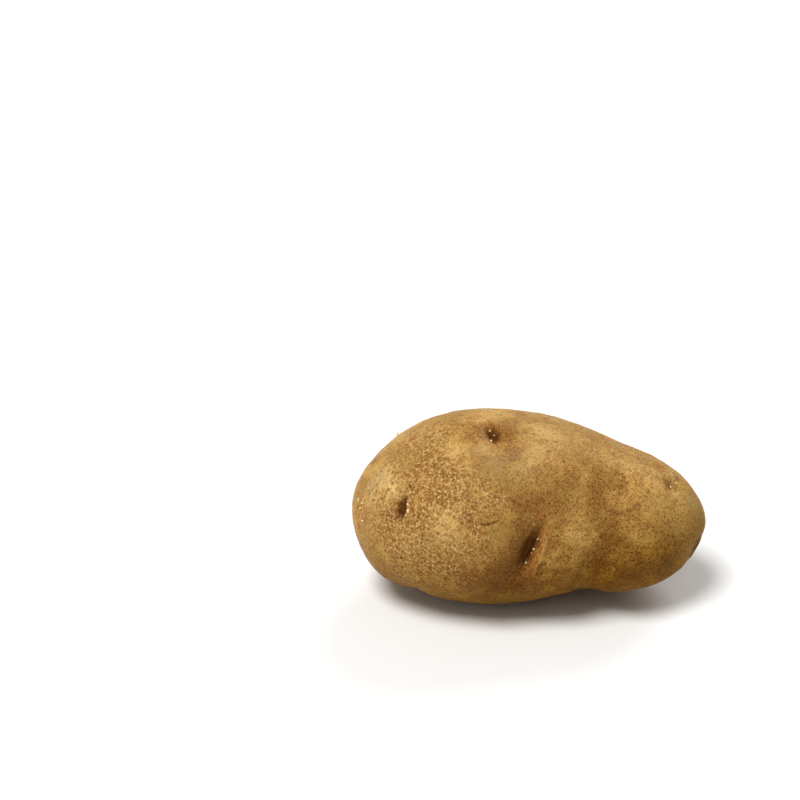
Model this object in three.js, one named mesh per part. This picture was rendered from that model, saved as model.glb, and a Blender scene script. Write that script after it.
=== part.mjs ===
// A russet potato: one tuber, lying on its flatter side.
// Millimetres, +Z up. X runs along the tuber, from the blunt bud end (-X) to the slimmer stem end (+X),
// and -Y is the side with the long slit eye. The origin is on the ground, under the middle of the tuber.
import * as THREE from "three";
import { mergeVertices } from "three/addons/utils/BufferGeometryUtils.js";

// Driving dimensions.
const LENGTH = 118;
const HALF_LENGTH = LENGTH / 2;
const CORNER_FULLNESS = 0.14; // how much fuller than an ellipse the girth is, at its four corners
const REST_HEIGHT = 29.9; // from the tuber's axis down to the flat that it lies on
const FLAT_SOFTNESS = 0.9; // the flat's rim rolls up over twice this height
const QUADS_ALONG = 38;
const QUADS_AROUND = 24; // on each of the four long sides

// The girth at stations along the tuber, before its ends are rounded off. x is the place; up and out are the
// half height and half depth; rise and back are how far the axis lies above and behind the middle line.
const STATIONS = [
  { x: -59, up: 36.2, out: 39.6, rise: -2.6, back: 0.4 },
  { x: -42, up: 35.4, out: 38.8, rise: -1.4, back: 0.2 },
  { x: -26, up: 33.4, out: 36.8, rise: -0.2, back: 0 },
  { x: -8, up: 31.0, out: 34.2, rise: 0.2, back: 0 },
  { x: 8, up: 29.2, out: 32.0, rise: -0.4, back: -0.2 },
  { x: 20, up: 28.0, out: 30.6, rise: -1.4, back: -1.0 },
  { x: 34, up: 28.4, out: 31.2, rise: -3.0, back: -2.6 },
  { x: 50, up: 28.4, out: 31.4, rise: -3.6, back: -3.8 },
  { x: 59, up: 26.8, out: 29.8, rise: -3.4, back: -4.2 },
];

// A place on the skin is x along the tuber and turn degrees round it: 0 faces -Y, 90 is on top, 180 faces +Y.
// Broad swellings and hollows. A hollow's height is negative.
const SWELLINGS = [
  { x: -10, turn: -6, height: 1.5, reach: 12 },
  { x: 12, turn: -14, height: 1.2, reach: 8 },
  { x: 40, turn: -6, height: 0.9, reach: 13 },
  { x: -49, turn: -46, height: 1.4, reach: 10 },
  { x: -12, turn: -62, height: 0.5, reach: 12 },
  { x: 9, turn: -62, height: -1.2, reach: 8 },
  { x: 46, turn: -54, height: 0.9, reach: 10 },
  { x: -30, turn: 100, height: 0.3, reach: 13 },
  { x: -4, turn: 112, height: -0.4, reach: 13 },
  { x: -56, turn: 70, height: 0.6, reach: 8 },
  { x: -12, turn: 76, height: -0.6, reach: 6 },
  { x: -22, turn: 40, height: -0.5, reach: 9 },
  { x: 22, turn: 95, height: -0.7, reach: 12 },
  { x: 46, turn: 92, height: 0.6, reach: 9 },
  { x: 12, turn: 172, height: 1.1, reach: 15 },
  { x: -32, turn: 196, height: -0.9, reach: 12 },
  { x: 36, turn: 150, height: -0.9, reach: 11 },
  { x: -14, turn: 240, height: 1.2, reach: 12 },
  { x: 46, turn: 225, height: 0.9, reach: 10 },
  { x: -50, turn: 170, height: 0.8, reach: 10 },
  { x: 1, turn: 273, height: 1.2, reach: 13 },
  { x: -24, turn: 268, height: -0.7, reach: 12 },
  { x: 56, turn: -38, height: -0.8, reach: 6 },
];

// Shallow furrows, each from one place on the skin to another.
const FURROWS = [
  { from: [27, 42], to: [23, -8], depth: 1.3, width: 6.5 },
  { from: [22, -14], to: [17, -66], depth: 1.6, width: 5.5 },
  { from: [3, 27], to: [-5, -16], depth: 1.6, width: 4.6 },
  { from: [-10, 72], to: [-2, 48], depth: 0.9, width: 5 },
  { from: [-40, -44], to: [-33, -66], depth: 1.3, width: 5.2 },
  { from: [-10, 160], to: [-19, 214], depth: 1.4, width: 6.0 },
  { from: [30, 178], to: [26, 232], depth: 1.1, width: 5.0 },
  { from: [43, 84], to: [49, 52], depth: 0.6, width: 3.5 },
];

// The eyes. aim is the angle of an eye's slit from the tuber's length; long and wide are its half sizes.
// brow is the height of the ridge along one edge, the left one of the slit (side 1) or the right one (side -1).
// bank is how much wider the slope is on the other edge.
const EYES = [
  { x: 1.5, turn: 2, aim: 66, long: 9.6, wide: 2, depth: 2.1, brow: 0.6, side: -1, bank: 1.8 },
  { x: -40.8, turn: 32, aim: 78, long: 4.8, wide: 1.5, depth: 1.4, brow: 0.2, side: -1, bank: 1.5 },
  { x: -12.2, turn: 81, aim: 112, long: 4.8, wide: 1.9, depth: 1.4, brow: 0.2, side: 1, bank: 1.6 },
  { x: 47, turn: 72, aim: 100, long: 3.2, wide: 1.7, depth: 0.8, brow: 0.15, side: 1, bank: 1.4 },
  { x: -56, turn: 30, aim: 60, long: 3.2, wide: 1.7, depth: 0.6, brow: 0.15, side: 1, bank: 1.3 },
  { x: -31, turn: 148, aim: 84, long: 5.8, wide: 1.8, depth: 1.6, brow: 0.4, side: -1, bank: 1.6 },
  { x: 17, turn: 166, aim: 98, long: 6.4, wide: 1.9, depth: 1.8, brow: 0.5, side: -1, bank: 1.7 },
  { x: -48, turn: 236, aim: 74, long: 4.8, wide: 1.6, depth: 1.3, brow: 0.3, side: -1, bank: 1.5 },
  { x: -14, turn: 214, aim: 90, long: 6.2, wide: 1.8, depth: 1.7, brow: 0.45, side: -1, bank: 1.7 },
  { x: 38, turn: 204, aim: 104, long: 4.8, wide: 1.6, depth: 1.2, brow: 0.25, side: -1, bank: 1.5 },
  { x: 30, turn: 288, aim: 82, long: 4.4, wide: 1.6, depth: 1.1, brow: 0.2, side: -1, bank: 1.5 },
  { x: -51, turn: 128, aim: 70, long: 4.2, wide: 1.6, depth: 1.1, brow: 0.2, side: -1, bank: 1.5 },
  { x: -55, turn: 300, aim: 100, long: 3.2, wide: 1.6, depth: 0.7, brow: 0.15, side: 1, bank: 1.4 },
];

const EYE_CURL = 0.2; // how far a slit's ends bend away from the brow, in half widths
const BROW_PLACE = 1.7; // from the slit's middle to the brow, in half widths

// The scar at the stem end, where the tuber broke off its stolon: a raised corky rim round a small pit.
const STEM_SCAR = { x: 55.6, turn: -40, rim: 2.8, rimWidth: 1.4, rimHeight: 0.6, depth: 1.2 };

// Mesh lines are drawn towards each eye and the scar, by this share at its middle and over this reach.
const GATHER_SHARE = 0.54;
const GATHER_REACH = 9;

const stationSpline = new THREE.CubicInterpolant(
  STATIONS.map((s) => s.x),
  STATIONS.flatMap((s) => [s.up, s.out, s.rise, s.back]),
  4,
);

// The unit direction, on a sphere that the tuber is drawn out of, that stands for a place on the skin.
function directionTo({ x, turn }) {
  const along = x / HALF_LENGTH;
  const around = Math.sqrt(1 - along * along);
  const angle = THREE.MathUtils.degToRad(turn);
  return new THREE.Vector3(along, -around * Math.cos(angle), around * Math.sin(angle));
}

// The tuber's plain form, without its relief.
function bodyPoint(direction) {
  const [up, out, rise, back] = stationSpline.evaluate(HALF_LENGTH * direction.x);
  const full = 1 + CORNER_FULLNESS * direction.y ** 2 * direction.z ** 2;
  return new THREE.Vector3(
    HALF_LENGTH * direction.x,
    back + out * full * direction.y,
    rise + up * full * direction.z,
  );
}

function bodyNormal(direction) {
  const step = 0.01;
  const pole = Math.abs(direction.z) < 0.9 ? new THREE.Vector3(0, 0, 1) : new THREE.Vector3(0, 1, 0);
  const east = pole.cross(direction).normalize();
  const north = direction.clone().cross(east);
  const slope = (way) => {
    const ahead = bodyPoint(direction.clone().addScaledVector(way, step).normalize());
    return ahead.sub(bodyPoint(direction.clone().addScaledVector(way, -step).normalize()));
  };
  return slope(east).cross(slope(north)).normalize();
}

// A flat frame touching the body at a place: its middle, its normal, and the ways along and around the tuber.
function skinFrame(place) {
  const direction = directionTo(place);
  const middle = bodyPoint(direction);
  const normal = bodyNormal(direction);
  const along = new THREE.Vector3(1, 0, 0).addScaledVector(normal, -normal.x).normalize();
  return { direction, middle, normal, along, around: normal.clone().cross(along) };
}

const bell = (distance, width) => Math.exp(-((distance / width) ** 2));
const plateau = (distance, width) => Math.exp(-(Math.abs(distance / width) ** 3));

function swellingRelief({ x, turn, height, reach }) {
  const { middle } = skinFrame({ x, turn });
  return (point) => height * bell(point.distanceTo(middle), reach);
}

// A furrow follows the straight line between its ends, and fades over a width past them.
function furrowRelief({ from, to, depth, width }) {
  const line = new THREE.Line3(
    skinFrame({ x: from[0], turn: from[1] }).middle,
    skinFrame({ x: to[0], turn: to[1] }).middle,
  );
  const foot = new THREE.Vector3();
  const outward = skinFrame({ x: (from[0] + to[0]) / 2, turn: (from[1] + to[1]) / 2 });
  return (point) => {
    line.closestPointToPoint(point, true, foot);
    const gap = point.clone().sub(foot);
    const lift = gap.dot(outward.normal);
    gap.addScaledVector(outward.normal, -lift);
    return lift < -width ? 0 : -depth * bell(gap.length(), width);
  };
}

function eyeRelief(eye) {
  const { middle, normal, along, around } = skinFrame(eye);
  const aim = THREE.MathUtils.degToRad(eye.aim);
  const slit = along.clone().multiplyScalar(Math.cos(aim)).addScaledVector(around, Math.sin(aim));
  const across = normal.clone().cross(slit);
  const browWidth = 0.35 * eye.wide + 0.4;
  return (point) => {
    const gap = point.clone().sub(middle);
    const a = gap.dot(slit);
    const curl = EYE_CURL * eye.wide * (a / eye.long) ** 2;
    const b = gap.dot(across) * eye.side + curl;
    const wide = b > 0 ? eye.wide : eye.wide * eye.bank;
    const taper = 0.5 + 0.5 * bell(a, eye.long);
    const pit = eye.depth * plateau(a, eye.long) * bell(b, wide * taper);
    const dish = 0.25 * eye.depth * bell(a, 1.5 * eye.long) * bell(b, 2.4 * wide);
    const brow = eye.brow * bell(a, 1.1 * eye.long) * bell(b - BROW_PLACE * eye.wide * taper, browWidth);
    return (brow - pit - dish) * bell(gap.dot(normal), 3 * eye.long);
  };
}

function scarRelief({ x, turn, rim, rimWidth, rimHeight, depth }) {
  const { middle } = skinFrame({ x, turn });
  return (point) => {
    const distance = point.distanceTo(middle);
    return rimHeight * bell(distance - rim, rimWidth) - depth * bell(distance, 0.6 * rim);
  };
}

const relief = [
  ...SWELLINGS.map(swellingRelief),
  ...FURROWS.map(furrowRelief),
  ...EYES.map(eyeRelief),
  scarRelief(STEM_SCAR),
];

// Draws a direction towards the eyes and the scar, so that the mesh is finest there.
const gathered = [...EYES, STEM_SCAR].map(skinFrame);
function gather(direction) {
  const point = bodyPoint(direction);
  const pulled = direction.clone();
  for (const eye of gathered) {
    const share = GATHER_SHARE * bell(point.distanceTo(eye.middle), GATHER_REACH);
    pulled.addScaledVector(eye.direction.clone().sub(direction), share);
  }
  return pulled.normalize();
}

// What lies lower than the ground is pressed flat, and the skin just above it rolls smoothly up from the flat.
function pressFlat(point) {
  const height = point.z + REST_HEIGHT;
  if (height < -FLAT_SOFTNESS) point.z = 0;
  else if (height < FLAT_SOFTNESS) point.z = (height + FLAT_SOFTNESS) ** 2 / (4 * FLAT_SOFTNESS);
  else point.z = height;
  return point;
}

function tuberGeometry() {
  const box = new THREE.BoxGeometry(2, 2, 2, QUADS_ALONG, QUADS_AROUND, QUADS_AROUND);
  box.deleteAttribute("normal");
  box.deleteAttribute("uv");
  const geometry = mergeVertices(box);
  const position = geometry.getAttribute("position");
  const even = (value) => Math.tan((value * Math.PI) / 4);
  for (let i = 0; i < position.count; i++) {
    const corner = new THREE.Vector3().fromBufferAttribute(position, i);
    const direction = gather(new THREE.Vector3(...corner.toArray().map(even)).normalize());
    const point = bodyPoint(direction);
    const height = relief.reduce((sum, part) => sum + part(point), 0);
    point.addScaledVector(bodyNormal(direction), height);
    position.setXYZ(i, ...pressFlat(point).toArray());
  }
  geometry.computeBoundingBox();
  const middle = geometry.boundingBox.getCenter(new THREE.Vector3());
  return geometry.translate(-middle.x, -middle.y, 0);
}

const skin = new THREE.MeshStandardMaterial({ color: 0xb38a55, roughness: 0.78, metalness: 0 });

const tuber = new THREE.Mesh(tuberGeometry(), skin);
tuber.name = "tuber";

const potato = new THREE.Group();
potato.name = "potato";
potato.add(tuber);

export default potato;
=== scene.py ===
# A russet potato lying on a pale surface.
# The tuber's sizes are in millimetres, as in the part's source, and its mesh is in metres.
import math

import bmesh
import bpy
import numpy as np
from mathutils import Matrix, Vector, noise as noise_3d


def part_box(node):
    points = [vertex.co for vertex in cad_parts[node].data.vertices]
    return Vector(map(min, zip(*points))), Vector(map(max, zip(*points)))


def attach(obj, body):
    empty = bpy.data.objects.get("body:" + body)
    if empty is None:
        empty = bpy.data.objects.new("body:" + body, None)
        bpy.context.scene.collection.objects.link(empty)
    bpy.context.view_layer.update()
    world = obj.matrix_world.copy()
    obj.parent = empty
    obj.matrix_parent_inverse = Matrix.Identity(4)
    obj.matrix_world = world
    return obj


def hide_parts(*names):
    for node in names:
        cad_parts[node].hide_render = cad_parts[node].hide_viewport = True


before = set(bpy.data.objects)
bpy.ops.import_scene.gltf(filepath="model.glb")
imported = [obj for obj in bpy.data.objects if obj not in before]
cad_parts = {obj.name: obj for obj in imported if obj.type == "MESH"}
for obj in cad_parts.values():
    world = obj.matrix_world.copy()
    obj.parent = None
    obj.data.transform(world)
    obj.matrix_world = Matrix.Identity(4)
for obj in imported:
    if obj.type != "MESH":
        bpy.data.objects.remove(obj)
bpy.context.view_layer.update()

MM = 0.001


# The tuber: one swollen stem of firm flesh in a thin skin, long and blunt. It grew with low swellings and
# furrows, and with eyes set in hollows, each under a curved brow. Here it is a sphere drawn out through the
# girths at its stations, and it lies on a small spot that is pressed flat.
LENGTH = 118
HALF_LENGTH = LENGTH / 2
CORNER_FULLNESS = 0.14
REST_HEIGHT = 29.9
FLAT_SOFTNESS = 0.9
QUADS_ALONG = 170
QUADS_AROUND = 106

# x, half height, half depth, how far the axis lies above and behind the middle line
STATIONS = [
    (-59, 36.2, 39.6, -2.6, 0.4),
    (-42, 35.4, 38.8, -1.4, 0.2),
    (-26, 33.4, 36.8, -0.2, 0),
    (-8, 31.0, 34.2, 0.2, 0),
    (8, 29.2, 32.0, -0.4, -0.2),
    (20, 28.0, 30.6, -1.4, -1.0),
    (34, 28.4, 31.2, -3.0, -2.6),
    (50, 28.4, 31.4, -3.6, -3.8),
    (59, 26.8, 29.8, -3.4, -4.2),
]

# A place on the skin is x along the tuber and turn degrees round it: 0 faces -Y, 90 is on top and 180
# faces +Y. x, turn, height, reach
SWELLINGS = [
    (-10, -6, 1.5, 12),
    (12, -14, 1.2, 8),
    (40, -6, 0.9, 13),
    (-49, -46, 1.4, 10),
    (-12, -62, 0.5, 12),
    (9, -62, -1.2, 8),
    (46, -54, 0.9, 10),
    (-30, 100, 0.3, 13),
    (-4, 112, -0.4, 13),
    (-56, 70, 0.6, 8),
    (-12, 76, -0.6, 6),
    (-22, 40, -0.5, 9),
    (22, 95, -0.7, 12),
    (46, 92, 0.6, 9),
    (12, 172, 1.1, 15),
    (-32, 196, -0.9, 12),
    (36, 150, -0.9, 11),
    (-14, 240, 1.2, 12),
    (46, 225, 0.9, 10),
    (-50, 170, 0.8, 10),
    (1, 273, 1.2, 13),
    (-24, 268, -0.7, 12),
    (56, -38, -0.8, 6),
]

# from x, from turn, to x, to turn, depth, width
FURROWS = [
    (27, 42, 23, -8, 1.3, 6.5),
    (22, -14, 17, -66, 1.6, 5.5),
    (3, 27, -5, -16, 1.6, 4.6),
    (-10, 72, -2, 48, 0.9, 5),
    (-40, -44, -33, -66, 1.3, 5.2),
    (-10, 160, -19, 214, 1.4, 6.0),
    (30, 178, 26, 232, 1.1, 5.0),
    (43, 84, 49, 52, 0.6, 3.5),
]

# x, turn, angle of the slit from the tuber's length, half length, half width, depth, height of the brow,
# side of the brow (1 is left of the slit, -1 right), how much wider the slope opposite the brow is
EYES = [
    (1.5, 2, 66, 9.6, 2, 2.1, 0.6, -1, 1.8),
    (-40.8, 32, 78, 4.8, 1.5, 1.4, 0.2, -1, 1.5),
    (-12.2, 81, 112, 4.8, 1.9, 1.4, 0.2, 1, 1.6),
    (47, 72, 100, 3.2, 1.7, 0.8, 0.15, 1, 1.4),
    (-56, 30, 60, 3.2, 1.7, 0.6, 0.15, 1, 1.3),
    (-31, 148, 84, 5.8, 1.8, 1.6, 0.4, -1, 1.6),
    (17, 166, 98, 6.4, 1.9, 1.8, 0.5, -1, 1.7),
    (-48, 236, 74, 4.8, 1.6, 1.3, 0.3, -1, 1.5),
    (-14, 214, 90, 6.2, 1.8, 1.7, 0.45, -1, 1.7),
    (38, 204, 104, 4.8, 1.6, 1.2, 0.25, -1, 1.5),
    (30, 288, 82, 4.4, 1.6, 1.1, 0.2, -1, 1.5),
    (-51, 128, 70, 4.2, 1.6, 1.1, 0.2, -1, 1.5),
    (-55, 300, 100, 3.2, 1.6, 0.7, 0.15, 1, 1.4),
]

EYE_CURL = 0.2  # how far a slit's ends bend away from the brow, in half widths
BROW_PLACE = 1.7  # from the slit's middle to the brow, in half widths
DISH_SHARE = 0.25  # depth of the wide dish round an eye, of the pit's
LIP_PLACE = 1.5  # from the slit's middle to the sharp lip on the brow, in half widths
LIP_SLANT = 0.07  # how fast the lip draws near the slit's upper end
LIP_WIDTH = 0.3
LIP_SHARE = 0.3  # height of the lip, of the brow's
CREASE_WIDTH = 0.28
CREASE_SHARE = 0.2  # depth of the crease along the slit, of the pit's

# The corky ring where the tuber broke off its stem: x and turn, radius, width and height of the rim, and
# the depth and reach of the hollow inside it
SCAR_PLACE = (55.6, -40)
SCAR_RIM = 2.8
SCAR_RIM_WIDTH = 1.4
SCAR_RIM_HEIGHT = 0.6
SCAR_DEPTH = 1.2
SCAR_HOLLOW = 0.6 * SCAR_RIM

# A hairline crack, curved like a smile: x and turn, length, how far its ends bend up, how much more so the
# end towards +X, width, depth
CRACK_PLACE = (-12.5, 21.6)
CRACK_LENGTH = 6.8
CRACK_BEND = 1.0
CRACK_LEAN = 0.3
CRACK_WIDTH = 0.25
CRACK_DEPTH = 0.25

# Wavelength and most height of the skin's low unevenness, and of the crumpled skin in the eyes
UNEVENNESS = [(9, 0.3), (3.2, 0.1)]
CRUMPLE_LENGTH = 1.6
CRUMPLE_SHARE = 0.14  # of the eye's depth

# The mesh is drawn towards each eye, the scar and the crack: the share at the middle, and the reach
GATHER_SHARE = 0.54
GATHER_REACH = 9


def unit(vectors):
    return vectors / np.linalg.norm(vectors, axis=-1, keepdims=True)


def bell(distance, width):
    return np.exp(-((distance / width) ** 2))


def plateau(distance, width):
    return np.exp(-(np.abs(distance / width) ** 3))


def girth(x):
    """Half height, half depth, rise and shift back at each x, smooth through the stations."""
    table = np.array(STATIONS, float)
    places, sizes = table[:, 0], table[:, 1:]
    slopes = np.gradient(sizes, axis=0)
    slopes /= np.gradient(places)[:, None]
    i = np.clip(np.searchsorted(places, x) - 1, 0, len(places) - 2)
    span = (places[i + 1] - places[i])[:, None]
    t = (x - places[i])[:, None] / span
    near = (2 * t**3 - 3 * t**2 + 1) * sizes[i] + (t**3 - 2 * t**2 + t) * span * slopes[i]
    far = (3 * t**2 - 2 * t**3) * sizes[i + 1] + (t**3 - t**2) * span * slopes[i + 1]
    return (near + far).T


def body_points(directions):
    """Where each unit direction meets the tuber's plain form, without its relief."""
    along = HALF_LENGTH * directions[:, 0]
    up, out, rise, back = girth(along)
    full = 1 + CORNER_FULLNESS * directions[:, 1] ** 2 * directions[:, 2] ** 2
    sideways = back + out * full * directions[:, 1]
    upwards = rise + up * full * directions[:, 2]
    return np.stack([along, sideways, upwards], axis=1)


def body_normals(directions, step=0.01):
    """The way out of the plain form in each unit direction."""
    steep = np.abs(directions[:, [2]]) < 0.9
    east = unit(np.cross(np.where(steep, [[0, 0, 1.0]], [[0, 1.0, 0]]), directions))
    north = np.cross(directions, east)
    sideways = body_points(unit(directions + east * step)) - body_points(unit(directions - east * step))
    upwards = body_points(unit(directions + north * step)) - body_points(unit(directions - north * step))
    return unit(np.cross(sideways, upwards))


def direction_to(x, turn):
    """The unit direction whose point lies at a place on the skin."""
    along = x / HALF_LENGTH
    around = math.sqrt(1 - along**2)
    angle = math.radians(turn)
    return np.array([along, -around * math.cos(angle), around * math.sin(angle)])


def skin_frame(x, turn):
    """A place's middle on the plain form, its normal, and the ways along and around the tuber."""
    direction = direction_to(x, turn)[None]
    middle = body_points(direction)[0]
    normal = body_normals(direction)[0]
    along = unit(np.array([1, 0, 0]) - normal * normal[0])
    return middle, normal, along, np.cross(normal, along)


def eye_axes(x, turn, aim):
    """An eye's middle, its normal, and the ways along and across its slit."""
    middle, normal, along, around = skin_frame(x, turn)
    slit = along * math.cos(math.radians(aim)) + around * math.sin(math.radians(aim))
    return middle, normal, slit, np.cross(normal, slit)


def eye_shares(points, eye):
    """How much each point has of an eye's parts, from 0 to 1. The stain is brown skin with painted shade,
    and the lit wall an orange tone with painted light; these two are colour alone. The crease and lip carry
    painted shade and a painted highlight besides their relief.
    """
    x, turn, aim, long, wide, depth, brow, side, bank = eye
    middle, normal, slit, across = eye_axes(x, turn, aim)
    a = (points - middle) @ slit
    b = (points - middle) @ across * side + EYE_CURL * wide * (a / long) ** 2
    near = bell((points - middle) @ normal, 3 * long)
    slope = np.where(b > 0, wide, wide * bank)
    taper = 0.5 + 0.5 * bell(a, long)
    brow_gap = b - BROW_PLACE * wide * taper
    lip_gap = b - EYE_CURL * wide * (a / long) ** 2 - LIP_PLACE * wide + LIP_SLANT * a
    wall_gap = b - 1.1 * wide * taper
    stain_gap = b + 0.35 * wide * bank * taper
    return {
        "pit": near * plateau(a, long) * bell(b, slope * taper),
        "dish": near * bell(a, 1.5 * long) * bell(b, 2.4 * slope),
        "brow": near * bell(a, 1.1 * long) * bell(brow_gap, 0.35 * wide + 0.4),
        "crease": near * plateau(a, 0.85 * long) * bell(b, CREASE_WIDTH),
        "lip": near * plateau(a, 0.8 * long) * bell(lip_gap, LIP_WIDTH),
        "lit_wall": near * bell(a, 0.85 * long) * bell(wall_gap, 0.45 * wide * taper),
        "stain_and_shade": near * bell(a, long) * plateau(stain_gap, 0.85 * wide * bank * taper),
    }


def crack_share(points):
    """How much of the crack each point has, from 0 to 1."""
    middle, normal, along, around = skin_frame(*CRACK_PLACE)
    a = (points - middle) @ along
    b = (points - middle) @ around
    line = b + 0.5 * CRACK_BEND - CRACK_BEND * (2 * a / CRACK_LENGTH + CRACK_LEAN) ** 2
    ends = 1 / (1 + np.exp((np.abs(a) - 0.46 * CRACK_LENGTH) / 0.25))
    return ends * bell(line, CRACK_WIDTH) * bell((points - middle) @ normal, CRACK_LENGTH)


def coarse_relief(points):
    """The height of the skin over the plain form, as the solid has it."""
    height = np.zeros(len(points))
    for x, turn, rise, reach in SWELLINGS:
        height += rise * bell(np.linalg.norm(points - skin_frame(x, turn)[0], axis=1), reach)
    for from_x, from_turn, to_x, to_turn, depth, width in FURROWS:
        start = skin_frame(from_x, from_turn)[0]
        line = skin_frame(to_x, to_turn)[0] - start
        normal = skin_frame((from_x + to_x) / 2, (from_turn + to_turn) / 2)[1]
        share = np.clip((points - start) @ line / (line @ line), 0, 1)
        gap = points - start - share[:, None] * line
        lift = gap @ normal
        gap -= lift[:, None] * normal
        height -= np.where(lift < -width, 0, depth * bell(np.linalg.norm(gap, axis=1), width))
    for eye in EYES:
        depth, brow = eye[5:7]
        share = eye_shares(points, eye)
        height += brow * share["brow"] - depth * share["pit"] - DISH_SHARE * depth * share["dish"]
    distance = np.linalg.norm(points - skin_frame(*SCAR_PLACE)[0], axis=1)
    height += SCAR_RIM_HEIGHT * bell(distance - SCAR_RIM, SCAR_RIM_WIDTH)
    return height - SCAR_DEPTH * bell(distance, SCAR_HOLLOW)


def rough_at(points, wavelength):
    """Smooth noise at each point, from about -1 to 1."""
    return np.array([noise_3d.noise(place) for place in (points / wavelength).tolist()])


def fine_relief(points):
    """What is too fine for the solid: low unevenness, the crack, and each eye's crease, lip and crumple."""
    height = -CRACK_DEPTH * crack_share(points)
    for wavelength, most in UNEVENNESS:
        height += most * rough_at(points, wavelength)
    crumple = rough_at(points, CRUMPLE_LENGTH)
    for eye in EYES:
        depth, brow = eye[5:7]
        share = eye_shares(points, eye)
        height += LIP_SHARE * brow * share["lip"] - CREASE_SHARE * depth * share["crease"]
        height += CRUMPLE_SHARE * depth * crumple * share["pit"]
    return height


def gather(directions):
    """The directions drawn towards the eyes, the scar and the crack, which need the finest mesh."""
    points = body_points(directions)
    pulled = directions.copy()
    for x, turn in [eye[:2] for eye in EYES] + [SCAR_PLACE, CRACK_PLACE]:
        distance = np.linalg.norm(points - skin_frame(x, turn)[0], axis=1)
        share = GATHER_SHARE * bell(distance, GATHER_REACH)
        pulled += share[:, None] * (direction_to(x, turn) - directions)
    return unit(pulled)


def press_flat(points):
    """Presses flat what lies lower than the ground, with a soft roll up from the flat."""
    height = points[:, 2] + REST_HEIGHT
    roll = (height + FLAT_SOFTNESS) ** 2 / (4 * FLAT_SOFTNESS)
    points[:, 2] = np.select([height < -FLAT_SOFTNESS, height < FLAT_SOFTNESS], [0, roll], height)
    return points


def box_sphere(quads_along, quads_around):
    """Unit directions of the grid on a box's six sides, spread evenly over a sphere, and its quads."""
    sides = [
        (quads_along, quads_around, lambda u, v, one: (u, -one, v)),
        (quads_around, quads_along, lambda u, v, one: (v, one, u)),
        (quads_along, quads_around, lambda u, v, one: (u, v, one)),
        (quads_around, quads_along, lambda u, v, one: (v, u, -one)),
        (quads_around, quads_around, lambda u, v, one: (one, u, v)),
        (quads_around, quads_around, lambda u, v, one: (-one, v, u)),
    ]
    corners, quads, count = [], [], 0
    for across, up, place in sides:
        u, v = np.meshgrid(
            np.tan(np.linspace(-1, 1, across + 1) * math.pi / 4),
            np.tan(np.linspace(-1, 1, up + 1) * math.pi / 4),
            indexing="ij",
        )
        corners.append(np.stack(place(u.ravel(), v.ravel(), np.ones(u.size)), axis=1))
        first = count + np.arange(across)[:, None] * (up + 1) + np.arange(up)
        round_quad = [first, first + up + 1, first + up + 2, first + 1]
        quads.append(np.stack(round_quad, axis=-1).reshape(-1, 4))
        count += u.size
    corners = np.concatenate(corners)
    _, kept, merged = np.unique(np.round(corners, 6), axis=0, return_index=True, return_inverse=True)
    return unit(corners[kept]), merged.reshape(-1)[np.concatenate(quads)]


directions, quads = box_sphere(QUADS_ALONG, QUADS_AROUND)
directions = gather(directions)
plain = body_points(directions)
relief = coarse_relief(plain) + fine_relief(plain)
points = press_flat(plain + body_normals(directions) * relief[:, None])

low, high = (np.array(corner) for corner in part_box("tuber"))
own_middle = (points.min(axis=0) + points.max(axis=0)) / 2
to_frame = (low + high) / 2 - own_middle * MM
to_frame[2] = 0

skin_mesh = bpy.data.meshes.new("tuber_skin")
skin_mesh.from_pydata((points * MM + to_frame).tolist(), [], quads.tolist())
skin_mesh.shade_smooth()
tuber_skin = bpy.data.objects.new("tuber_skin", skin_mesh)
bpy.context.scene.collection.objects.link(tuber_skin)


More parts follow.
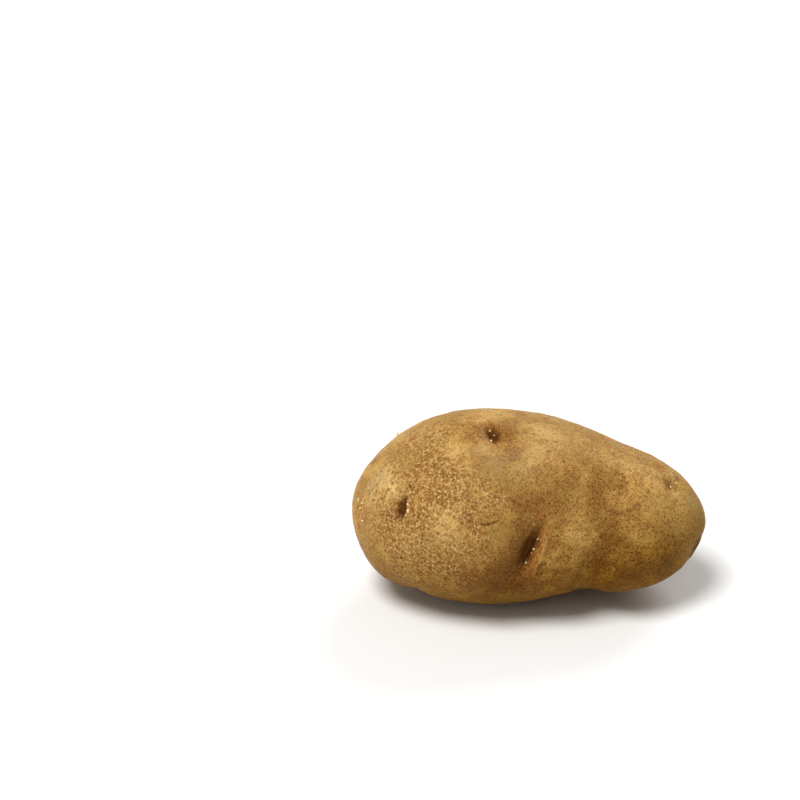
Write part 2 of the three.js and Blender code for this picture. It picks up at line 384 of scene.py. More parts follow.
# Where the skin differs from its usual russet: brown in the eyes, with painted shade on the slopes turned
# from the light, an orange tone painted lighter on the walls turned to it, coarsely netted at the bud end,
# brown, pale or greyish in patches, spotted dark here and there, and crusted at the scar. Some brown
# patches, below the long eye, are painted shade there as well as brown skin. Each is a share at each point
# of the mesh, which the skin's material reads. x, turn, share, reach
BROWN_AND_SHADE_PATCHES = [
    # The patches below the long eye, near x -10 to -23 and turn -12 to -20, are painted shade as well as
    # brown skin
    (-17, -16, 1.1, 6),
    (-12, -20, 1.2, 5),
    (-10, -19, 0.9, 6),
    (-20, 8, 0.7, 6),
    (-35, 26, 0.8, 7),
    (-27, 36, 0.7, 5),
    (-20, 28, 0.8, 6),
    (-24, 2, 0.8, 6),
    (4, -8, 0.3, 5),
    (34, 84, 0.4, 5),
    (-34, -6, 0.6, 7),
    (-28, -2, 0.6, 7),
    (0, 30, 0.4, 6),
    (-2, -24, 0.8, 6),
    (-10.5, 38, 0.4, 6),
    (-4, 82, 0.5, 6),
    (-13, 88, 0.4, 4),
    (-40, 86, 0.4, 7),
    (-3, 61, 0.4, 6),
    (24, 50, 0.5, 6),
    (46, 75, 0.6, 2.5),
    (-41, 42, 0.6, 5),
    (-31, 58, 0.7, 5),
    (-27, 52, 1.0, 6),
    (-32, 62, 0.9, 5),
    (-24, 42, 0.9, 6),
    (-24, 8, 0.6, 5),
    (-23, -12, 0.8, 6),
    (-20, -20, 1.0, 6),
    (-11, -12, 1.1, 6),
    (-33, 44, 0.5, 5),
    (-20, 84, 0.4, 8),
    (12, 50, 0.6, 5),
    (9, 36, 0.6, 4),
    (27, 24, 1.0, 4),
    (27, 12, 1.5, 4),
    (26, 2, 1.2, 4),
    (24, -12, 0.8, 5),
    (31, -28, 0.8, 7),
    (43, -38, 0.8, 6),
    (43, -12, 0.6, 4),
    (14, -44, 0.7, 7),
    (22, 60, 0.4, 5),
    (-44, 28, 0.9, 3.5),
    (-47, 14, 1.0, 4),
    (-43, -4, 0.3, 6),
    (-30, -24, 0.4, 7),
    (-8, 150, 0.7, 9),
    (26, 190, 0.7, 8),
    (-40, 200, 0.6, 8),
    (6, 250, 0.8, 11),
    (-26, 290, 0.6, 9),
    (40, 236, 0.6, 8),
    (-22, 176, 0.5, 7),
    (48, 140, 0.5, 6),
]
PALE_PATCHES = [
    (-47, 58, 1.0, 5),
    (-44, 48, 1.0, 4),
    (-50, 70, 0.3, 4),
    (-52, 46, 0.6, 4),
    (-28, 17, 0.6, 4.5),
    (-27, 22, 0.7, 4),
    (43, 42, 0.5, 6),
    (-22, 7, 0.3, 4),
    (-24, 66, 0.6, 4),
    (49, 62, 0.7, 5),
    (50, 42, 0.6, 8),
    (42, 70, 0.4, 6),
    (36, 76, 0.3, 6),
    (48, 84, 0.5, 5),
    (-14, 104, 0.5, 7),
    (6, 84, 0.6, 7),
    (4, 66, 0.6, 6),
    (8, -4, 0.5, 4),
    (14, -6, 0.3, 4.5),
    (17, 12, 0.5, 5),
    (38, 14, 0.4, 5),
    (-42, 120, 0.6, 7),
    (20, 140, 0.6, 8),
    (44, 180, 0.6, 7),
    (-28, 226, 0.6, 7),
    (24, 262, 0.6, 8),
]
GREY_PATCHES = [
    (-48, 62, 0.9, 3),
    (-51, 56, 0.7, 3),
    (-15, 66, 0.6, 3.5),
    (-10, 56, 0.55, 5),
    (-4, 58, 0.5, 6),
    (54, 56, 1.0, 5),
    (50, 18, 0.6, 6),
    (53, -10, 0.6, 5),
    (-20, 128, 0.6, 6),
    (34, 212, 0.6, 6),
    (-44, 250, 0.6, 6),
]
DARK_SPOTS = [
    (5.5, -5, 0.9, 0.35),
    (49, 88, 0.8, 1.0),
    (47, 78, 0.4, 1.6),
    (-49.5, 56, 0.6, 0.6),
    (-52, 49, 0.6, 0.5),
    (-48.5, 64, 0.5, 0.6),
    (-47.5, 60, 0.5, 0.45),
    (45.5, -15, 0.4, 1.6),
    (22, 204, 0.8, 0.8),
    (-38, 162, 0.7, 0.7),
    (-6, 262, 0.8, 0.9),
    (33, 124, 0.7, 0.7),
]
NET_PATCHES = [
    (-40, 20, 1.0, 15),
    (-30, 46, 1.0, 14),
    (-34, 80, 0.75, 12),
    (-24, 30, 0.8, 9),
    (-16, 12, 0.5, 9),
    (-14, 36, 0.7, 9),
    (-34, -16, 1.0, 14),
    (-24, -20, 0.5, 9),
    (-26, 6, 1.0, 9),
    (-47, 56, 1.0, 9),
    (-52, 190, 0.9, 16),
    (-24, 176, 0.6, 13),
    (8, 236, 0.6, 13),
]


def patches(places):
    """The largest share that any of the places gives each point."""
    share = np.zeros(len(plain))
    for x, turn, most, reach in places:
        distance = np.linalg.norm(plain - skin_frame(x, turn)[0], axis=1)
        share = np.maximum(share, most * bell(distance, reach))
    return share


def most_of_eyes(part, column, full_at):
    """The largest share that any eye gives each point, less in eyes whose own column is below full_at."""
    shares = [eye_shares(plain, eye)[part] * min(1, eye[column] / full_at) ** 2 for eye in EYES]
    return np.max(shares, axis=0)


EYE_DEPTH, EYE_BROW = 5, 6  # columns of EYES
SCAR_STAIN_REACH = 1.3 * SCAR_RIM
scar_distance = np.linalg.norm(plain - skin_frame(*SCAR_PLACE)[0], axis=1)
SKIN_SHARES = {
    "brown": patches(BROWN_AND_SHADE_PATCHES),
    "pale": patches(PALE_PATCHES),
    "grey": patches(GREY_PATCHES),
    "spot": patches(DARK_SPOTS),
    "net": patches(NET_PATCHES),
    "dish": most_of_eyes("dish", EYE_DEPTH, 1.6),
    "stain_and_shade": most_of_eyes("stain_and_shade", EYE_DEPTH, 1.4),
    "crease": most_of_eyes("crease", EYE_DEPTH, 1.4),
    "lit_wall": most_of_eyes("lit_wall", EYE_DEPTH, 1.6),
    "lip": most_of_eyes("lip", EYE_BROW, 0.7),
    "crack": crack_share(plain),
    "scar": bell(scar_distance, SCAR_STAIN_REACH),
}

# Cork flecks stand thick in the netted skin, thickest where it is brown. A few stand elsewhere, and none so
# low that it would reach the ground.
CLEAR_OF_GROUND = 2
brown_or_not = 0.35 + 0.65 * SKIN_SHARES["brown"]
SKIN_SHARES["fleck"] = 0.015 + 0.985 * SKIN_SHARES["net"] ** 2 * brown_or_not
SKIN_SHARES["fleck"] *= points[:, 2] > CLEAR_OF_GROUND
for name, share in SKIN_SHARES.items():
    attribute = skin_mesh.attributes.new(name, "FLOAT", "POINT")
    attribute.data.foreach_set("value", share.astype(np.float32))


# The skin is a thin, dry layer of cork. Where it russets it is a pale raised net with brown between, coarse
# at the bud end and as fine as freckles elsewhere, over a golden tan ground.
def srgb(red, green, blue):
    """A colour read off the object, 0 to 255, as the linear colour that a shader takes."""
    share = np.array([red, green, blue]) / 255
    linear = np.where(share <= 0.04045, share / 12.92, ((share + 0.055) / 1.055) ** 2.4)
    return (*linear.tolist(), 1)


def put(tree, kind, inputs, **settings):
    """A new node with its settings, each input joined to a socket or set to a value."""
    node = tree.nodes.new(kind)
    for name, value in settings.items():
        setattr(node, name, value)
    for name, value in inputs.items():
        if isinstance(value, bpy.types.NodeSocket):
            tree.links.new(value, node.inputs[name])
        else:
            node.inputs[name].default_value = value
    return node


def share_of(tree, name):
    """One of the shares that the mesh carries."""
    return put(tree, "ShaderNodeAttribute", {}, attribute_name=name).outputs["Fac"]


def maths(tree, operation, *values):
    return put(tree, "ShaderNodeMath", dict(enumerate(values)), operation=operation).outputs[0]


def ramp(tree, value, start, end):
    """0 where value is at start, 1 at end, and smooth between. start may be the higher."""
    node = put(tree, "ShaderNodeMapRange", {"Value": value, "From Min": start, "From Max": end},
               interpolation_type="SMOOTHSTEP")
    return node.outputs["Result"]


def paint(tree, share, under, over, way="MIX"):
    """The colour under with the colour over laid on it by share."""
    node = put(tree, "ShaderNodeMix", {0: share, 6: under, 7: over}, data_type="RGBA", blend_type=way)
    return node.outputs[2]


def blend(tree, share, low, high):
    """The value low where share is 0, high where it is 1, and between them elsewhere."""
    return put(tree, "ShaderNodeMix", {0: share, 2: low, 3: high}, data_type="FLOAT").outputs[0]


def place_in_mm(tree):
    """Where a point lies on the object, in millimetres."""
    place = put(tree, "ShaderNodeTexCoord", {}).outputs["Object"]
    per_mm = (1 / MM, 1 / MM, 1 / MM)
    return put(tree, "ShaderNodeMapping", {"Vector": place, "Scale": per_mm}).outputs[0]


def noise(tree, place, scale, detail=2, rough=0.5):
    inputs = {"Vector": place, "Scale": scale, "Detail": detail, "Roughness": rough}
    return put(tree, "ShaderNodeTexNoise", inputs)


def cells(tree, place, scale, feature="F1"):
    return put(tree, "ShaderNodeTexVoronoi", {"Vector": place, "Scale": scale}, feature=feature)


PALE_CORK = srgb(227, 194, 137)
PALE_GOLD = srgb(223, 186, 124)
GOLD = srgb(195, 155, 89)
TAN = srgb(179, 138, 78)
OLIVE = srgb(161, 130, 71)
BROWN = srgb(135, 91, 43)
DOT_BROWN = srgb(113, 72, 29)
DEEP_BROWN = srgb(97, 57, 21)
GREY = srgb(176, 158, 122)
# Brown skin in the eyes with painted shade over it, on the slopes turned from the light
STAIN_AND_SHADE_BROWN = srgb(82, 47, 16)
# Painted shade in the eyes' creases and in the crack
CREASE_SHADE = srgb(66, 34, 10)
# An orange tone, painted lighter where the eyes' walls face the light: painted light
LIT_WALL_ORANGE = srgb(186, 134, 82)
SPOT = srgb(92, 72, 52)
SCAR_RING = srgb(124, 92, 56)
CRUST = srgb(84, 62, 40)
# Painted shade for the underside, multiplied over the skin's colour
UNDERSIDE_SHADE_TINT = srgb(193, 176, 72)

# Wavelengths of the mottling in millimetres, and how many spots and grains there are to a millimetre
DRIFT_LENGTH = 14
BLOTCH_LENGTH = 5
MOTTLE_LENGTH = 1.8
GRAINS_PER_MM = 2.4
FRECKLES_PER_MM = 1.15
NET_PER_MM = 0.72
THICK_FLECKS_PER_MM = 0.95
THIN_FLECKS_PER_MM = 0.6
PORES_PER_MM = 0.36
SWAYS_PER_MM = 0.9
SWAY = 0.95  # how far the spots are pushed out of line
STROKES_PER_MM = 0.9
FLECK_SHIFT = (3.7, 1.9, 8.3)  # so that the flecks don't sit on the dots
SKIN_BUMP = 0.15

# The painted shade on the underside: how high over the ground it starts and is full at the middle of the
# tuber, and how fast both heights rise towards the stem end
UNDERSIDE_SHADE_TOP = 42
UNDERSIDE_SHADE_BOTTOM = 8
UNDERSIDE_SHADE_SLANT = 0.22


def spots(tree, place, scale, start, end, rarity=0.0):
    """Soft round spots, one to a cell, each of its own strength. The rarer, the more cells stay bare."""
    grid = cells(tree, place, scale).outputs
    strength = put(tree, "ShaderNodeSeparateColor", {"Color": grid["Color"]}).outputs[0]
    strength = ramp(tree, strength, rarity, 1.0)
    return maths(tree, "MULTIPLY", ramp(tree, grid["Distance"], start, end), strength)


def make_skin_material():
    material = bpy.data.materials.new("russet skin")
    material.use_nodes = True
    tree = material.node_tree
    shader = tree.nodes["Principled BSDF"]
    place = place_in_mm(tree)
    sway = noise(tree, place, SWAYS_PER_MM).outputs["Color"]
    sway = put(tree, "ShaderNodeVectorMath", {0: sway, "Scale": SWAY}, operation="SCALE").outputs[0]
    bent = put(tree, "ShaderNodeVectorMath", {0: place, 1: sway}, operation="ADD").outputs[0]
    drift = noise(tree, place, 1 / DRIFT_LENGTH, 2).outputs["Fac"]
    blotch = noise(tree, place, 1 / BLOTCH_LENGTH, 4, 0.6).outputs["Fac"]
    mottle = noise(tree, place, 1 / MOTTLE_LENGTH, 3, 0.6).outputs["Fac"]
    grain = noise(tree, place, GRAINS_PER_MM, 2, 0.6).outputs["Fac"]
    net = ramp(tree, maths(tree, "MULTIPLY_ADD", blotch, 0.5, share_of(tree, "net")), 0.3, 0.95)

    # How brown the skin is: most in the brown patches and the eyes, least in the pale patches. The brown
    # patches below the long eye and the eyes' dishes carry painted shade as well as brown skin.
    brown = maths(tree, "MULTIPLY_ADD", mottle, 0.35, blotch)
    brown = maths(tree, "MULTIPLY_ADD", share_of(tree, "brown"), 0.3, brown)
    brown = maths(tree, "MULTIPLY_ADD", share_of(tree, "dish"), 0.3, brown)
    brown = maths(tree, "MULTIPLY_ADD", share_of(tree, "pale"), -0.3, brown)
    patchy = maths(tree, "MULTIPLY_ADD", ramp(tree, mottle, 0.3, 0.6), 0.6, 0.4)
    deep = maths(tree, "MULTIPLY", ramp(tree, brown, 0.86, 1.2), patchy)
    brown = ramp(tree, brown, 0.54, 0.96)

    # How much painted shade each point gets: none high up, full near the ground
    axes = put(tree, "ShaderNodeSeparateXYZ", {0: place}).outputs
    height = maths(tree, "MULTIPLY_ADD", axes["X"], -UNDERSIDE_SHADE_SLANT, axes["Z"])
    underside_shade = maths(tree, "MULTIPLY", ramp(tree, height, UNDERSIDE_SHADE_TOP, UNDERSIDE_SHADE_BOTTOM), 0.9)

    # The ground between the marks, and the brown over it
    ground = paint(tree, ramp(tree, drift, 0.38, 0.62), OLIVE, GOLD)
    ground = paint(tree, ramp(tree, blotch, 0.35, 0.65), ground, TAN)
    ground = paint(tree, maths(tree, "MULTIPLY", share_of(tree, "pale"), 0.8), ground, PALE_GOLD)
    colour = paint(tree, maths(tree, "MULTIPLY", brown, 0.75), ground, BROWN)
    # Partly painted shade: the deepest brown, where the brown is strongest
    colour = paint(tree, maths(tree, "MULTIPLY", deep, 0.35), colour, DEEP_BROWN)
    # Painted light: the eyes' walls that face the light get a lighter orange tone
    colour = paint(tree, maths(tree, "MULTIPLY", share_of(tree, "lit_wall"), 0.6), colour, LIT_WALL_ORANGE)

    # Soft brown dots, larger and wider apart where the skin is netted
    small_dots = spots(tree, bent, FRECKLES_PER_MM, 0.6, 0.22, -0.6)
    large_dots = spots(tree, bent, NET_PER_MM, 0.82, 0.24, -0.8)
    dots = blend(tree, net, small_dots, large_dots)
    # The dots are painted darker in the underside's painted shade
    plain_depth = maths(tree, "MULTIPLY_ADD", underside_shade, 0.4, 0.53)
    plain_depth = maths(tree, "MULTIPLY_ADD", brown, 0.25, plain_depth)
    net_depth = maths(tree, "MULTIPLY", maths(tree, "MULTIPLY_ADD", brown, -0.3, 0.95), patchy)
    depth = blend(tree, net, plain_depth, net_depth)
    dot_colour = paint(tree, deep, paint(tree, net, DEEP_BROWN, DOT_BROWN), STAIN_AND_SHADE_BROWN)
    colour = paint(tree, maths(tree, "MULTIPLY", dots, depth), colour, dot_colour)

    # The net's pale lines run between the large dots, broken into strokes
    edge = cells(tree, bent, NET_PER_MM, "DISTANCE_TO_EDGE").outputs["Distance"]
    lines = maths(tree, "MULTIPLY", ramp(tree, edge, 0.2, 0.02), maths(tree, "MULTIPLY", net, patchy))
    strokes = ramp(tree, noise(tree, place, STROKES_PER_MM, 1).outputs["Fac"], 0.42, 0.6)
    lines = maths(tree, "MULTIPLY", maths(tree, "MULTIPLY", lines, strokes), 0.52)
    colour = paint(tree, lines, colour, PALE_CORK)

    # A fine grain lies over it all, brown in its hollows and pale on its tops
    colour = paint(tree, maths(tree, "MULTIPLY", ramp(tree, grain, 0.56, 0.3), 0.32), colour, BROWN)
    colour = paint(tree, maths(tree, "MULTIPLY", ramp(tree, grain, 0.5, 0.75), 0.3), colour, PALE_CORK)

    # Flat cream flecks, thick in the netted skin and few elsewhere, and dark pores
    shifted = put(tree, "ShaderNodeVectorMath", {0: bent, 1: FLECK_SHIFT}, operation="ADD").outputs[0]
    thick_flecks = spots(tree, shifted, THICK_FLECKS_PER_MM, 0.5, 0.2, 0.0)
    thick_flecks = maths(tree, "MULTIPLY", thick_flecks, net)
    thick_flecks = maths(tree, "MULTIPLY", thick_flecks, maths(tree, "MULTIPLY_ADD", brown, 0.7, 0.3))
    thin_flecks = spots(tree, shifted, THIN_FLECKS_PER_MM, 0.3, 0.12, 0.4)
    thin_flecks = maths(tree, "MULTIPLY", thin_flecks, 0.35)
    flecks = maths(tree, "MAXIMUM", thick_flecks, thin_flecks)
    colour = paint(tree, maths(tree, "MULTIPLY", flecks, 0.75), colour, PALE_CORK)
    pores = spots(tree, shifted, PORES_PER_MM, 0.2, 0.08, 0.2)
    colour = paint(tree, maths(tree, "MULTIPLY", pores, 0.8), colour, DEEP_BROWN)

    # Grey film, dark spots, eyes, crack and scar
    grey = maths(tree, "MULTIPLY", share_of(tree, "grey"), ramp(tree, mottle, 0.25, 0.6))
    colour = paint(tree, maths(tree, "MULTIPLY", grey, 0.6), colour, GREY)
    colour = paint(tree, share_of(tree, "spot"), colour, SPOT)
    # Painted highlight with pale cork along the eyes' lips
    colour = paint(tree, maths(tree, "MULTIPLY", share_of(tree, "lip"), 0.45), colour, PALE_CORK)
    # Brown stain with painted shade in the eyes
    stain_and_shade = maths(tree, "SUBTRACT", share_of(tree, "stain_and_shade"), 0.7)
    stain_and_shade = maths(tree, "MULTIPLY_ADD", mottle, 0.7, stain_and_shade)
    stain_and_shade = maths(tree, "MULTIPLY_ADD", grain, 0.7, stain_and_shade)
    colour = paint(tree, maths(tree, "MULTIPLY", ramp(tree, stain_and_shade, 0.25, 1.0), 0.9), colour, STAIN_AND_SHADE_BROWN)
    # Painted shade in the eyes' creases and in the crack
    colour = paint(tree, maths(tree, "MULTIPLY", share_of(tree, "crease"), 0.8), colour, CREASE_SHADE)
    colour = paint(tree, maths(tree, "MULTIPLY", share_of(tree, "crack"), 0.75), colour, CREASE_SHADE)
    scar = maths(tree, "SUBTRACT", share_of(tree, "scar"), 0.25)
    scar = maths(tree, "MULTIPLY_ADD", mottle, 0.5, scar)
    colour = paint(tree, ramp(tree, scar, 0.1, 0.6), colour, SCAR_RING)
    colour = paint(tree, ramp(tree, scar, 0.5, 0.85), colour, CRUST)

    # Painted shade: the underside is painted darker and more saturated towards the ground
    colour = paint(tree, underside_shade, colour, UNDERSIDE_SHADE_TINT, "MULTIPLY")
    tree.links.new(colour, shader.inputs["Base Color"])

    # Flecks stand up, dots lie low, and the hollows of the grain are the roughest. The cork is nearly matt,
    # with a pale sheen where it is seen along its surface.
    relief = maths(tree, "MULTIPLY_ADD", flecks, 0.7, maths(tree, "MULTIPLY", grain, 0.7))
    relief = maths(tree, "MULTIPLY_ADD", dots, -0.3, relief)
    relief = maths(tree, "MULTIPLY_ADD", mottle, 1.2, relief)
    bump = put(tree, "ShaderNodeBump", {"Height": relief, "Distance": SKIN_BUMP * MM, "Strength": 1.0})
    tree.links.new(bump.outputs["Normal"], shader.inputs["Normal"])
    tree.links.new(ramp(tree, grain, 1.2, -0.3), shader.inputs["Roughness"])
    shader.inputs["Specular IOR Level"].default_value = 0.04
    shader.inputs["Sheen Weight"].default_value = 0.2
    shader.inputs["Sheen Roughness"].default_value = 0.5
    shader.inputs["Sheen Tint"].default_value = PALE_CORK
    return material


skin_mesh.materials.append(make_skin_material())
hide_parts("tuber")
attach(tuber_skin, "root")


# Bud scales: the small cream flakes that are left of the buds, standing in the eyes and strewn on the bud
# end. Each is a chip of dry cork, grown on the skin. x, turn, size
BUD_SCALES = [
    (3.6, 9, 0.6),
    (2.2, 2, 0.75),
    (1.6, -1, 0.5),
    (-0.6, -8, 0.7),
    (-38.8, 30, 1.25),
    (-38.9, 34.5, 0.95),
    (-39.6, 27, 0.6),
    (-12.4, 86, 0.8),
    (-12.0, 78, 0.9),
    (-10.8, 82, 0.5),
    (47.5, 73, 0.8),
    (48.4, 79, 0.5),
    (-55.6, 49, 1.0),
    (-54.5, 42, 1.05),
    (-55.7, 36, 1.05),
    (-54.3, 19, 1.0),
    (-31.4, 146, 0.8),
    (-31.0, 152, 0.6),
    (17.4, 164, 0.8),
    (16.6, 171, 0.7),
    (-48.2, 234, 0.8),
    (-14.2, 211, 0.7),
    (-13.8, 218, 0.8),
    (38.2, 203, 0.7),
    (30.0, 288, 0.7),
    (-51.0, 128, 0.7),
]
SCALE_SHAPE = [0.62, 0.4, 0.3]  # half length, half width and half height, in sizes
SCALE_LIFT = 0.15  # of its middle over the skin, in sizes
SCALE_RAGGEDNESS = 0.6


def ball(subdivisions):
    """A round ball of radius 1: its points and its triangles."""
    shape = bmesh.new()
    bmesh.ops.create_icosphere(shape, subdivisions=subdivisions, radius=1)
    own_points = np.array([vertex.co[:] for vertex in shape.verts])
    own_faces = np.array([[vertex.index for vertex in face.verts] for face in shape.faces])
    shape.free()
    return own_points, own_faces


def on_skin(x, turn):
    """The nearest point of the finished mesh to a place on the skin, and the way out of the skin there."""
    nearest = np.argmin(np.linalg.norm(plain - skin_frame(x, turn)[0], axis=1))
    return points[nearest], skin_frame(x, turn)[1:]


def add_piece(name, own_points, own_faces, material):
    """A small piece that rides on the tuber, from points in the tuber's millimetres."""
    mesh = bpy.data.meshes.new(name)
    mesh.from_pydata((own_points * MM + to_frame).tolist(), [], own_faces.tolist())
    mesh.shade_smooth()
    mesh.materials.append(material)
    piece = bpy.data.objects.new(name, mesh)
    bpy.context.scene.collection.objects.link(piece)
    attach(piece, "root")


def plain_material(name, colour, roughness):
    """A dry, nearly matt material of one colour."""
    material = bpy.data.materials.new(name)
    material.use_nodes = True
    inputs = material.node_tree.nodes["Principled BSDF"].inputs
    inputs["Base Color"].default_value = colour
    inputs["Roughness"].default_value = roughness
    inputs["Specular IOR Level"].default_value = 0.05
    return material


ball_points, ball_faces = ball(2)
chance = np.random.default_rng(7)
scale_points, scale_faces = [], []
for x, turn, size in BUD_SCALES:
    middle, (normal, along, around) = on_skin(x, turn)
    turned = chance.uniform(0, 2 * math.pi)
    long_way = along * math.cos(turned) + around * math.sin(turned)
    short_way = np.cross(normal, long_way)
    rough = 1 + SCALE_RAGGEDNESS * rough_at(ball_points + 10 * turn, 0.6)
    local = ball_points * rough[:, None] * size * SCALE_SHAPE
    scale_faces.append(ball_faces + len(ball_points) * len(scale_points))
    lifted = middle + SCALE_LIFT * size * normal
    scale_points.append(lifted + local @ np.array([long_way, short_way, normal]))
add_piece(
    "bud_scales",
    np.concatenate(scale_points),
    np.concatenate(scale_faces),
    plain_material("dry bud scale", srgb(230, 200, 146), 0.8),
)


# Cork flecks: low, pale warts where the skin's net is raised, most of them at the bud end. They are grown
# on the skin, one for each breathing pore. Geometry Nodes strew them by the skin's own fleck share.
FLECKS_PER_SQUARE_MM = 0.42
FLECK_SPACING = 0.9
FLECK_RADIUS = (0.12, 0.3)
FLECK_HEIGHT = 0.4  # of its radius
FLECK_SEED = 11


def fleck_tree(material):
    tree = bpy.data.node_groups.new("cork flecks", "GeometryNodeTree")
    for name, kind, way in [
        ("Skin", "NodeSocketGeometry", "INPUT"),
        ("Most flecks per square metre", "NodeSocketFloat", "INPUT"),
        ("Spacing", "NodeSocketFloat", "INPUT"),
        ("Smallest radius", "NodeSocketFloat", "INPUT"),
        ("Largest radius", "NodeSocketFloat", "INPUT"),
        ("Height share", "NodeSocketFloat", "INPUT"),
        ("Flecks", "NodeSocketGeometry", "OUTPUT"),
    ]:
        tree.interface.new_socket(name, in_out=way, socket_type=kind)
    given = put(tree, "NodeGroupInput", {}).outputs
    share = put(tree, "GeometryNodeInputNamedAttribute", {"Name": "fleck"}, data_type="FLOAT")
    strewn = put(tree, "GeometryNodeDistributePointsOnFaces", {
        "Mesh": given["Skin"],
        "Distance Min": given["Spacing"],
        "Density Max": given["Most flecks per square metre"],
        "Density Factor": share.outputs["Attribute"],
        "Seed": FLECK_SEED,
    }, distribute_method="POISSON").outputs
    dome = put(tree, "GeometryNodeMeshIcoSphere", {"Radius": 1, "Subdivisions": 1}).outputs["Mesh"]
    flat = put(tree, "ShaderNodeCombineXYZ", {"X": 1, "Y": 1, "Z": given["Height share"]}).outputs[0]
    dome = put(tree, "GeometryNodeTransform", {"Geometry": dome, "Scale": flat}).outputs["Geometry"]
    radius = put(tree, "FunctionNodeRandomValue", {
        "Min": given["Smallest radius"], "Max": given["Largest radius"], "Seed": FLECK_SEED,
    }, data_type="FLOAT").outputs["Value"]
    spin = put(tree, "FunctionNodeRandomValue", {"Min": 0.0, "Max": 2 * math.pi, "Seed": FLECK_SEED + 1},
               data_type="FLOAT").outputs["Value"]
    spin = put(tree, "ShaderNodeCombineXYZ", {"Z": spin}).outputs[0]
    turned = put(tree, "FunctionNodeRotateRotation", {"Rotation": strewn["Rotation"], "Rotate By": spin},
                 rotation_space="LOCAL").outputs["Rotation"]
    flecks = put(tree, "GeometryNodeInstanceOnPoints", {
        "Points": strewn["Points"], "Instance": dome, "Rotation": turned, "Scale": radius,
    }).outputs["Instances"]
    flecks = put(tree, "GeometryNodeRealizeInstances", {"Geometry": flecks}).outputs["Geometry"]
    flecks = put(tree, "GeometryNodeSetShadeSmooth", {"Geometry": flecks}).outputs["Geometry"]
    flecks = put(tree, "GeometryNodeSetMaterial", {"Geometry": flecks, "Material": material})
    put(tree, "NodeGroupOutput", {"Flecks": flecks.outputs["Geometry"]})
    return tree


fleck_base = bpy.data.objects.new("fleck_base", skin_mesh)
bpy.context.scene.collection.objects.link(fleck_base)
strewer = fleck_base.modifiers.new("flecks", "NODES")
strewer.node_group = fleck_tree(plain_material("cork fleck", srgb(196, 157, 100), 0.85))
fleck_values = {
    "Most flecks per square metre": FLECKS_PER_SQUARE_MM / MM**2,
    "Spacing": FLECK_SPACING * MM,
    "Smallest radius": FLECK_RADIUS[0] * MM,
    "Largest radius": FLECK_RADIUS[1] * MM,
    "Height share": FLECK_HEIGHT,
}
for socket in strewer.node_group.interface.items_tree:
    if socket.name in fleck_values:
        strewer[socket.identifier] = fleck_values[socket.name]
depsgraph = bpy.context.evaluated_depsgraph_get()
fleck_mesh = bpy.data.meshes.new_from_object(fleck_base.evaluated_get(depsgraph))
bpy.data.objects.remove(fleck_base)
cork_flecks = bpy.data.objects.new("cork_flecks", fleck_mesh)
bpy.context.scene.collection.objects.link(cork_flecks)
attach(cork_flecks, "root")


# The stem's stub: a ragged, dark brown plug of dried, fibrous stem, in the middle of the scar. It is what
# stayed in the tuber when the stem broke off short.
STEM_LENGTHWAYS = 1.7
STEM_CROSSWAYS = 0.8 * STEM_LENGTHWAYS
STEM_HEIGHT = 0.9
STEM_SINK = 0.1
STEM_DARK = srgb(50, 34, 20)
STEM_PALE = srgb(134, 100, 60)
FIBRES_PER_MM = 1.6
FIBRE_BUMP = 0.4


def make_stem_material():
    material = plain_material("dried stem", STEM_DARK, 0.9)
    tree = material.node_tree
    shader = tree.nodes["Principled BSDF"]
    fibre = noise(tree, place_in_mm(tree), FIBRES_PER_MM, 3, 0.7).outputs["Fac"]
    fibre = ramp(tree, fibre, 0.4, 0.62)
    tree.links.new(paint(tree, fibre, STEM_DARK, STEM_PALE), shader.inputs["Base Color"])
    bump = put(tree, "ShaderNodeBump", {"Height": fibre, "Distance": FIBRE_BUMP * MM, "Strength": 1.0})
    tree.links.new(bump.outputs["Normal"], shader.inputs["Normal"])
    return material


stem_place, (stem_normal, stem_along, stem_around) = on_skin(*SCAR_PLACE)
stem_ball, stem_faces = ball(3)
ragged = 1 + 0.7 * rough_at(stem_ball, 0.5) + 0.5 * rough_at(stem_ball, 0.23)
stem_local = stem_ball * ragged[:, None] * [STEM_LENGTHWAYS, STEM_CROSSWAYS, STEM_HEIGHT]
stem_middle = stem_place - STEM_SINK * stem_normal
add_piece(
    "stem_stub",
    stem_middle + stem_local @ np.array([stem_along, stem_around, stem_normal]),
    stem_faces,
    make_stem_material(),
)


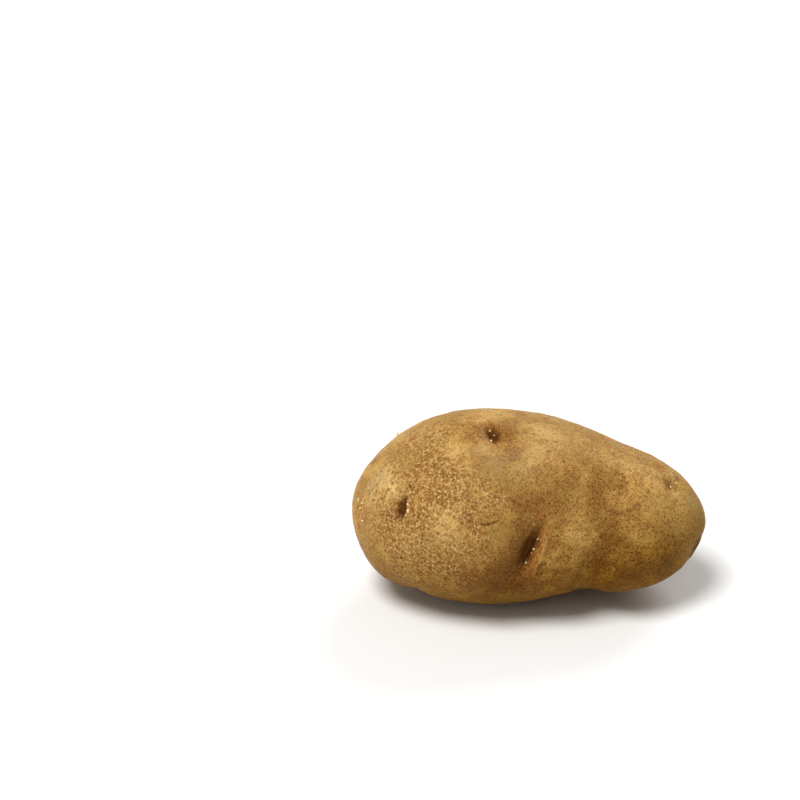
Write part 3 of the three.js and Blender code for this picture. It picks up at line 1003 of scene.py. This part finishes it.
# Root stubs: short dry threads left where fine roots grew out of the skin, each tapering to its broken end.
# x, turn, length, thickness, lean
ROOT_STUBS = [
    (-43.8, 117, 1.1, 1.0, 0.5),
    (9, 148, 1.3, 0.3, -0.4),
    (41, 252, 1.2, 0.3, -0.5),
]
STUB_RINGS = 7
STUB_SIDES = 8
STUB_SINK = 0.3  # how far each starts under the skin, in its lengths
STUB_TAPER = 0.75
stub_points, stub_faces = [], []
for x, turn, length, thickness, lean in ROOT_STUBS:
    middle, (normal, along, around) = on_skin(x, turn)
    steps = np.linspace(-STUB_SINK, 1, STUB_RINGS)
    out = np.maximum(steps, 0)
    line = middle + length * (steps[:, None] * normal + lean * out[:, None] ** 2 * along)
    radii = 0.5 * thickness * (1 - STUB_TAPER * out)
    angles = np.arange(STUB_SIDES) * 2 * math.pi / STUB_SIDES
    rings = np.cos(angles)[:, None] * along + np.sin(angles)[:, None] * around
    first = len(stub_points) * (STUB_RINGS * STUB_SIDES)
    stub_points.append((line[:, None] + radii[:, None, None] * rings).reshape(-1, 3))
    ring, side = np.meshgrid(np.arange(STUB_RINGS - 1), np.arange(STUB_SIDES), indexing="ij")
    corner = first + ring * STUB_SIDES + side
    beside = first + ring * STUB_SIDES + (side + 1) % STUB_SIDES
    round_quad = [corner, beside, beside + STUB_SIDES, corner + STUB_SIDES]
    stub_faces.append(np.stack(round_quad, axis=-1).reshape(-1, 4))
add_piece(
    "root_stubs",
    np.concatenate(stub_points),
    np.concatenate(stub_faces),
    plain_material("dry root", srgb(224, 190, 136), 0.7),
)


# The floor is a wide, plain, pale surface, so large that its edge never shows.
FLOOR_HALF = 30  # metres
FLOOR_CORNERS = [(-1, -1), (1, -1), (1, 1), (-1, 1)]
floor_mesh = bpy.data.meshes.new("floor")
floor_mesh.from_pydata([(x * FLOOR_HALF, y * FLOOR_HALF, 0) for x, y in FLOOR_CORNERS], [], [(0, 1, 2, 3)])
floor = bpy.data.objects.new("floor", floor_mesh)
bpy.context.scene.collection.objects.link(floor)
floor_paint = bpy.data.materials.new("pale floor")
floor_paint.use_nodes = True
floor_paint.node_tree.nodes["Principled BSDF"].inputs["Base Color"].default_value = (0.86, 0.86, 0.85, 1)
floor_paint.node_tree.nodes["Principled BSDF"].inputs["Roughness"].default_value = 0.8
floor_mesh.materials.append(floor_paint)


# Soft studio light: wide, even light from high on the left in front, weaker ones from the left and from
# behind, and a white room.
def wide_light(name, from_way, spread, strength):
    """Even light from one way, spread over that many degrees of the sky."""
    light = bpy.data.lights.new(name, "SUN")
    light.angle = math.radians(spread)
    light.energy = strength
    lamp = bpy.data.objects.new(name, light)
    bpy.context.scene.collection.objects.link(lamp)
    lamp.rotation_mode = "QUATERNION"
    lamp.rotation_quaternion = Vector(from_way).to_track_quat("Z", "Y")


wide_light("key", (-0.32, -0.3, 1), 28, 2.3)
wide_light("fill", (-1, -0.5, 0.14), 40, 0.5)
wide_light("rim", (0.45, 0.9, 0.7), 35, 1.25)
world = bpy.data.worlds.new("room")
world.use_nodes = True
world.node_tree.nodes["Background"].inputs["Color"].default_value = (1, 1, 1, 1)
world.node_tree.nodes["Background"].inputs["Strength"].default_value = 0.26
bpy.context.scene.world = world
bpy.context.scene.view_settings.view_transform = "Standard"
bpy.context.scene.view_settings.look = "Medium High Contrast"


# The camera looks down at 30 degrees from in front. It is aimed past the potato, which so lies low on the
# right of the frame, as in the photograph: MIDDLE_PIXEL is where the tuber's middle is there.
FRAME_PIXELS = 800
MIDDLE_PIXEL = (527.5, 505.9)
MM_PER_PIXEL = 0.3352
CAMERA_DISTANCE = 0.8  # metres
CAMERA_ELEVATION = math.radians(30)
SENSOR_WIDTH = 36

tuber_middle = Vector(((low[0] + high[0]) / 2, (low[1] + high[1]) / 2, REST_HEIGHT * MM))
to_camera = Vector((0, -math.cos(CAMERA_ELEVATION), math.sin(CAMERA_ELEVATION)))
camera_data = bpy.data.cameras.new("camera")
camera_data.sensor_width = SENSOR_WIDTH
camera_data.lens = SENSOR_WIDTH * CAMERA_DISTANCE / (FRAME_PIXELS * MM_PER_PIXEL * MM)
camera = bpy.data.objects.new("camera", camera_data)
bpy.context.scene.collection.objects.link(camera)
camera.location = tuber_middle + to_camera * CAMERA_DISTANCE
pixel_slope = MM_PER_PIXEL * MM / CAMERA_DISTANCE
pan = math.atan((MIDDLE_PIXEL[0] - FRAME_PIXELS / 2) * pixel_slope)
tilt = math.atan((MIDDLE_PIXEL[1] - FRAME_PIXELS / 2) * pixel_slope)
at_tuber = (-to_camera).to_track_quat("-Z", "Y").to_matrix().to_4x4()
past_tuber = Matrix.Rotation(pan, 4, "Y") @ Matrix.Rotation(tilt, 4, "X")
camera.rotation_mode = "QUATERNION"
camera.rotation_quaternion = (at_tuber @ past_tuber).to_quaternion()
bpy.context.scene.camera = camera
